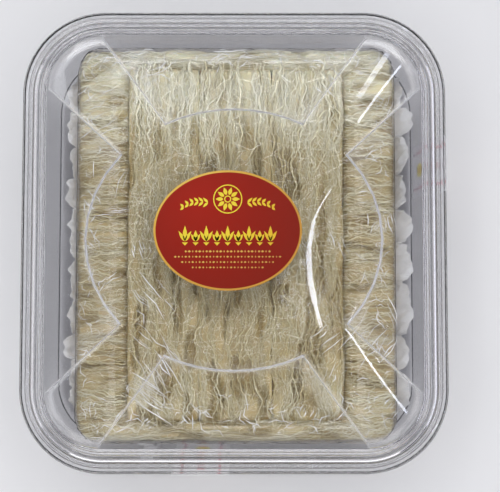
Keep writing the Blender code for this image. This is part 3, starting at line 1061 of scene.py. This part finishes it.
folds = []
for x, y, heading, long, count, width in film_gathers:
    ahead = Vector((math.cos(math.radians(heading)), math.sin(math.radians(heading))))
    aside = Vector((-ahead.y, ahead.x))
    for i in range(count):
        place = Vector((x, y)) + aside * width * ((i + fold_dice.random()) / count - 0.5)
        place += ahead * long * fold_dice.uniform(-0.45, 0.45)
        reach = ahead * long * fold_dice.uniform(0.25, 0.65)
        swing = aside * long * fold_dice.gauss(0.0, 0.05)
        path = [(place - reach + swing) / 1000.0, place / 1000.0, (place + reach + 2.0 * swing) / 1000.0]
        folds.append(film_fold(path, fold_dice.choice(fold_radii)))
for _ in range(short_folds):
    along_side = fold_dice.random() < 0.55
    side = fold_dice.choice((-1, 1))
    if along_side:
        x = side * fold_dice.gauss(0.0665, 0.0045)
        y = fold_dice.uniform(-0.086, 0.086)
    else:
        x = fold_dice.uniform(-0.068, 0.068)
        y = fold_dice.gauss(0.0835, 0.0035) if side > 0 else fold_dice.gauss(-0.079, 0.0060)
    heading = fold_dice.uniform(0.0, math.pi)
    long = fold_dice.uniform(0.0010, 0.0042)
    bend = fold_dice.uniform(-1.2, 1.2)
    middle = (x + long * math.cos(heading), y + long * math.sin(heading))
    end = (middle[0] + long * math.cos(heading + bend), middle[1] + long * math.sin(heading + bend))
    path = [(x, y), middle, end]
    if all(abs(place[0]) < 0.0715 and abs(place[1]) < 0.0885 for place in path):
        folds.append(film_fold(path, fold_dice.uniform(0.00007, 0.00018)))
fold_bm = bmesh.new()
fold_bm.verts.layers.float.new("tone")
strands_to_mesh(fold_bm, folds)
# Every fold gets the full painted highlight, so it is drawn nearly opaque white.
fold_painted_highlight = fold_bm.verts.layers.float.new("painted_highlight")
for vertex in fold_bm.verts:
    vertex[fold_painted_highlight] = 1.0
# A clearness of 0.10 under the painted highlight makes the folds a painted white highlight.
pinched_film_painted_white = clear_material("pinched cling film", (0.98, 0.98, 0.98), 1.45, (0.18, 0.36), 0.96, 0.10)
as_piece("film_folds", fold_bm, [pinched_film_painted_white, pinched_film_painted_white])
bpy.data.objects.remove(strand_outline)

# The label is an oval of glossy printed paper on the lid's oval: red, darker towards its lower
# right, with a gold rim and a made-up ornament in gold print.
label_low, label_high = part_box("label")
label_middle = (label_low + label_high) / 2
label_half_x = (label_high.x - label_low.x) / 2
label_half_y = (label_high.y - label_low.y) / 2
label_face = label_high.z - 0.00006
print_face = label_high.z - 0.00002
rim_wide = 0.0009
rim_sunk = 0.00003
red_slot, rim_slot, gold_slot, fine_slot = range(4)

label_bm = bmesh.new()
circle = bmesh.ops.create_circle(label_bm, cap_ends=True, segments=160, radius=1.0)
for vertex in circle["verts"]:
    vertex.co = (label_middle.x + vertex.co.x * label_half_x,
                 label_middle.y + vertex.co.y * label_half_y, label_low.z)
made = bmesh.ops.extrude_face_region(label_bm, geom=list(label_bm.faces))["geom"]
for vertex in made:
    if isinstance(vertex, bmesh.types.BMVert):
        vertex.co.z = label_face - rim_sunk
ovals = [face for face in label_bm.faces if len(face.verts) > 4]
top_face = [face for face in ovals if face.calc_center_median().z > label_low.z + 0.0001]
bmesh.ops.inset_region(label_bm, faces=top_face, thickness=rim_wide, depth=rim_sunk)
label_bm.normal_update()
for face in label_bm.faces:
    rim = face.calc_center_median() - label_middle
    reach = math.hypot(rim.x / (label_half_x - rim_wide), rim.y / (label_half_y - rim_wide))
    face.material_index = rim_slot if reach > 1.0 else red_slot


def print_shape(bm, points, slot_index):
    """A flat printed mark with its corners at points measured from the label's middle."""
    corners = [bm.verts.new((label_middle.x + x, label_middle.y + y, print_face)) for x, y in points]
    face = bmesh.ops.contextual_create(bm, geom=corners)["faces"][0]
    face.material_index = slot_index
    face.normal_update()
    if face.normal.z < 0.0:
        face.normal_flip()


def leaf(bm, x, y, heading, long, wide):
    """A pointed leaf from its stem end."""
    ahead = Vector((math.cos(heading), math.sin(heading)))
    aside = Vector((-ahead.y, ahead.x))
    edge = [(t / 8, math.sin(math.pi * (t / 8) ** 0.8)) for t in range(9)]
    points = [ahead * long * t + aside * wide * w / 2 for t, w in edge]
    points += [ahead * long * t - aside * wide * w / 2 for t, w in reversed(edge[1:-1])]
    print_shape(bm, [(x + p.x, y + p.y) for p in points], gold_slot)


def ring_mark(bm, x, y, outer, inner):
    """A thin printed ring, made of short pieces."""
    for i in range(28):
        a, b = (2 * math.pi * (i + j) / 28 for j in (0, 1))
        print_shape(bm, [(x + r * math.cos(t), y + r * math.sin(t))
                         for r, t in ((outer, a), (outer, b), (inner, b), (inner, a))], gold_slot)


def rosette(bm, x, y, size):
    """A ring of petals round a ring."""
    start = 0.30 * size
    for i in range(10):
        turn = 2 * math.pi * i / 10
        leaf(bm, x + start * math.cos(turn), y + start * math.sin(turn), turn, 0.55 * size, 0.27 * size)
    ring_mark(bm, x, y, 0.25 * size, 0.17 * size)
    ring_mark(bm, x, y, 1.02 * size, 0.94 * size)


rosette(label_bm, 0.0, 0.0135, 0.0062)
for side in (-1, 1):
    for i in range(6):
        x = side * (0.0085 + 0.0021 * i)
        y = 0.0105 + 0.0052 * math.sin(0.30 * i + 0.3) - 0.0011 * i
        for lean in (0.75, -0.75):
            heading = (0.0 if side > 0 else math.pi) + side * lean
            leaf(label_bm, x, y, heading, 0.0030 - 0.0002 * i, 0.0011)
fan_count = 9
for i in range(fan_count):
    x = 0.0046 * (i - (fan_count - 1) / 2)
    tall = 0.0068 if i % 2 == 0 else 0.0048
    for lean, share in ((0.0, 1.0), (0.55, 0.78), (-0.55, 0.78)):
        leaf(label_bm, x, -0.0048, math.pi / 2 + lean, tall * share, 0.0019 * share)
    print_shape(label_bm, [(x - 0.0013, -0.0052), (x + 0.0013, -0.0052), (x, -0.0066)], gold_slot)
for row, (count, size) in enumerate(((25, 0.00052), (31, 0.00044), (27, 0.00044), (21, 0.00044))):
    y = -0.0091 - 0.0023 * row
    for i in range(count):
        x = 0.00150 * (i - (count - 1) / 2)
        long = size * (1.0 + 0.45 * math.sin(2.1 * i + row))
        print_shape(label_bm, [(x - long, y), (x, y - size), (x + long, y), (x, y + size)], fine_slot)


def print_material(name, near, far, bottom, rough):
    """Glossy printed paper: a colour that runs from pale at the label's upper left to darker at its lower
    right, with a fine screen in it.
    """
    def dress(tree):
        place = own_place(tree)
        # The colour is palest at this corner, up and left of the label's middle, and darker with distance
        # from it.
        pale_corner = (label_middle.x - 0.012, label_middle.y + 0.012, label_middle.z)
        apart = add_node(tree, "VectorMath", {0: place, 1: pale_corner}, operation="DISTANCE")
        shade = add_node(tree, "MapRange", {
            "Value": apart.outputs["Value"], "From Min": 0.004, "From Max": 0.046})
        screen = clouds(tree, place, 1400.0)
        mixed = blended(tree, screen, 0.16, shade.outputs["Result"])
        return {"Base Color": tinted(tree, mixed, ((0.0, near), (0.55, far), (1.0, bottom))),
                "Roughness": spread(tree, screen, rough, rough + 0.12),
                "Specular IOR Level": 0.25}

    return opaque_material(name, dress)


label_prints = [
    print_material("red print", (0.37, 0.012, 0.002), (0.29, 0.010, 0.001), (0.24, 0.011, 0.002), 0.32),
    print_material("gold rim print", (0.85, 0.60, 0.13), (0.72, 0.42, 0.07), (0.60, 0.30, 0.05), 0.28),
    print_material("gold print", (0.90, 0.78, 0.06), (0.86, 0.62, 0.04), (0.74, 0.42, 0.03), 0.30),
    print_material("fine gold print", (0.80, 0.62, 0.12), (0.76, 0.50, 0.10), (0.62, 0.34, 0.07), 0.36),
]
label_piece = as_piece("label_oval", label_bm, label_prints, ["label"])
label_piece.data.shade_flat()

# The seals are off-white paper strips stuck over the joint: down the lid's skirt, across to the
# tray's wall and down it. Rows of faded red dashes run along them, with a yellow spot between. The
# inks are thin clear layers, and a ghost of each mark shows through to the back of the paper.
seal_foot = 0.0065
seal_bend = 0.0313
seal_turn = 0.0393
seal_head = 0.0508
seal_gap = 0.0003
seal_paper_thick = 0.00012
edge_dashes = 34
middle_dashes = 9
red_ink, yellow_ink = 1, 2
seal_path = rounded([
    (wall_at(seal_foot) - seal_gap - 0.0002, seal_foot),
    (wall_at(seal_bend) - seal_gap - 0.0002, seal_bend),
    (-seal_gap + 0.0001, seal_turn + 0.0003),
    (-0.0002, seal_head),
], 0.0030)


def stock_dress(tree):
    """Matt sticker stock that lets some light through."""
    cloud = clouds(tree, own_place(tree), 120.0, 4.0)
    whites = ((0.32, (0.90, 0.89, 0.88)), (0.68, (0.95, 0.94, 0.93)))
    return {"Base Color": tinted(tree, cloud, whites), "Roughness": spread(tree, cloud, 0.45, 0.7),
            "Subsurface Weight": 1.0, "Subsurface Radius": (1.0, 1.0, 1.0), "Subsurface Scale": 0.0020}


seal_stock = opaque_material("sticker stock", stock_dress)
seal_red = clear_material("faded red ink", (0.70, 0.13, 0.15), 1.2, (0.2, 0.4), 0.85)
seal_yellow = clear_material("yellow ink", (0.95, 0.84, 0.18), 1.2, (0.2, 0.4), 0.92)


def make_seal(name, node, at_front):
    """One seal: a creased strip with its printed marks laid on it."""
    low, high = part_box(node)
    middle = ((low.x + high.x) if at_front else (low.y + high.y)) / 2
    half = (high.x - low.x if at_front else high.y - low.y) / 2
    edge = lid_high.y if at_front else lid_high.x

    def place(u, v, lift):
        inset, z = along_path(seal_path, v)
        inset += 0.00006 * noise_at(u * 3.0, v * 7.0, edge * 50.0) - lift
        across = middle + u * half
        return Vector((across, -edge + inset, z)) if at_front else Vector((edge - inset, across, z))

    bm = bmesh.new()
    bmesh.ops.create_grid(bm, x_segments=20, y_segments=60, size=1.0)
    for vertex in bm.verts:
        vertex.co = place(vertex.co.x, (vertex.co.y + 1.0) / 2, 0.0)
    bmesh.ops.solidify(bm, geom=list(bm.faces), thickness=seal_paper_thick)

    def mark(corners, slot_index, ink=0.00002):
        """Print on the face, and its ghost on the back of the paper."""
        for lift in (seal_paper_thick + ink, -ink):
            verts = [bm.verts.new(place(u, v, lift)) for u, v in corners]
            face = bmesh.ops.contextual_create(bm, geom=verts)["faces"][0]
            face.material_index = slot_index

    def dash(u, v, wide, long, ink=0.00002):
        """A printed oblong round a place."""
        corners = ((-1, -1), (1, -1), (1, 1), (-1, 1))
        mark([(u + a * wide, v + b * long) for a, b in corners], red_ink, ink)

    for u in (-0.66, 0.66):
        for i in range(edge_dashes):
            dash(u, 0.03 + 0.028 * i, 0.045, 0.009 if i % 3 else 0.006)
    turns = [t * math.pi / 12 for t in range(24)]
    mark([(0.26 * math.cos(turn), 0.30 + 0.12 * math.sin(turn)) for turn in turns], yellow_ink)
    for i in range(middle_dashes):
        dash(0.0, 0.20 + 0.065 * i, (0.16, 0.10, 0.13)[i % 3], 0.010, 0.00004)
    bmesh.ops.recalc_face_normals(bm, faces=bm.faces)
    as_piece(name, bm, [seal_stock, seal_red, seal_yellow], [node])


make_seal("seal_front_strip", "seal_front", True)
make_seal("seal_right_strip", "seal_right", False)

# The floor is a plain pale sweep. Soft lamps stand high on all four sides at a slant, so that the
# lid's flat top mirrors little of them and its edges catch them, and low ones light walls and seals.
floor_bm = bmesh.new()
bmesh.ops.create_grid(floor_bm, x_segments=2, y_segments=2, size=1.6)
floor_mesh = bpy.data.meshes.new("floor")
floor_bm.to_mesh(floor_mesh)
floor_bm.free()
floor_tone = {"Base Color": (0.86, 0.86, 0.86, 1.0), "Roughness": 0.9}
floor_mesh.materials.append(opaque_material("pale floor", lambda tree: floor_tone))
floor = new_object("floor", floor_mesh)
floor.location = (0.0, 0.0, -0.0004)


def area_lamp(name, place, size, power, colour, facing):
    """A rectangular lamp."""
    data = bpy.data.lights.new(name, "AREA")
    data.shape = "RECTANGLE"
    data.size, data.size_y = size
    data.energy = power
    data.color = colour
    lamp = new_object(name, data)
    lamp.location = place
    lamp.rotation_euler = facing


def soft_light(name, place, size, power, colour=(1.0, 1.0, 1.0)):
    """A soft light aimed at the box."""
    to_box = Vector((0.0, 0.0, 0.03)) - Vector(place)
    area_lamp(name, place, size, power, colour, to_box.to_track_quat("-Z", "Y").to_euler())


high_lamp = (1.1, 0.34)
low_lamp = (1.4, 0.55)
soft_light("left light", (-0.56, 0.1, 1.15), high_lamp, 2.4, (0.95, 0.97, 1.0))
soft_light("right light", (0.58, 0.1, 1.15), high_lamp, 2.1, (1.0, 0.98, 0.95))
soft_light("back light", (0.0, 0.72, 1.15), high_lamp, 5.0, (0.98, 0.99, 1.0))
soft_light("front light", (0.0, -0.60, 1.15), high_lamp, 2.4, (1.0, 0.98, 0.95))
soft_light("low left light", (-1.05, 0.0, 0.36), low_lamp, 2.0)
soft_light("low right light", (1.05, 0.0, 0.36), low_lamp, 2.5, (0.88, 0.90, 1.0))
soft_light("low front light", (0.0, -1.05, 0.36), low_lamp, 3.0)

tube_colour = (0.84, 0.88, 1.0)


def tube_light(name, streak, lean, wide, shine):
    """Thin lamps overhead that the lid mirrors as a streak through points in millimetres."""
    lamps = []
    for x, y in streak:
        spot = Vector((x / 1000.0, y / 1000.0, oval_top))
        upright = Vector((*lean, 1.0)).normalized()
        seen = spot - camera.location
        thrown = seen - 2.0 * seen.dot(upright) * upright
        lamps.append(spot + thrown * (1.0 / thrown.z))
    for i, (a, b) in enumerate(zip(lamps, lamps[1:])):
        middle = (a + b) / 2
        size = ((b - a).length, wide[i])
        backward = (middle - Vector((0.0, 0.0, oval_top))).normalized()
        crossways = backward.cross((b - a).normalized()).normalized()
        lengthways = crossways.cross(backward)
        facing = Matrix((lengthways, crossways, backward)).transposed().to_euler()
        area_lamp(f"{name} {i + 1}", middle, size, shine * math.pi * size[0] * size[1], tube_colour, facing)


arm_lean = 0.022
back_arm = (arm_lean * 0.7, arm_lean * 0.7)
front_arm = (arm_lean * 0.7, -arm_lean * 0.7)
bent_streak = ((42.0, 21.5), (37.2, 14.0), (34.5, 8.0), (32.3, -5.0), (32.8, -17.5), (35.0, -28.0),
               (37.5, -38.0))
tube_light("corner tube", ((68.0, 84.0), (55.5, 63.0)), (arm_lean * 0.6, arm_lean * 0.8), (0.013,), 5.0)
tube_light("corner rod", ((75.5, 76.0), (56.5, 52.0)), back_arm, (0.005,), 9.0)
tube_light("bent tube", bent_streak, (0.0, 0.0), (0.002, 0.003, 0.0055, 0.0075, 0.0075, 0.005), 9.0)
tube_light("front rod", ((56.0, -28.0), (68.5, -51.0)), front_arm, (0.0045,), 10.0)
front_streak = ((49.0, -39.0), (57.0, -47.0), (79.0, -75.0))
tube_light("front bent rod", front_streak, front_arm, (0.0035, 0.0045), 12.0)

world = bpy.data.worlds.new("studio")
world.use_nodes = True
bpy.context.scene.world = world
sky_tones = ((0.0, (0.030, 0.030, 0.040)), (0.30, (0.10, 0.10, 0.13)), (0.62, (0.34, 0.34, 0.38)),
             (0.88, (0.28, 0.28, 0.32)), (0.95, (0.07, 0.07, 0.085)))
sky = add_node(world.node_tree, "TexCoord").outputs["Generated"]
height = add_node(world.node_tree, "SeparateXYZ", {0: sky}).outputs["Z"]
backdrop = world.node_tree.nodes["Background"]
world.node_tree.links.new(tinted(world.node_tree, height, sky_tones), backdrop.inputs["Color"])
bpy.context.scene.view_settings.view_transform = "Standard"
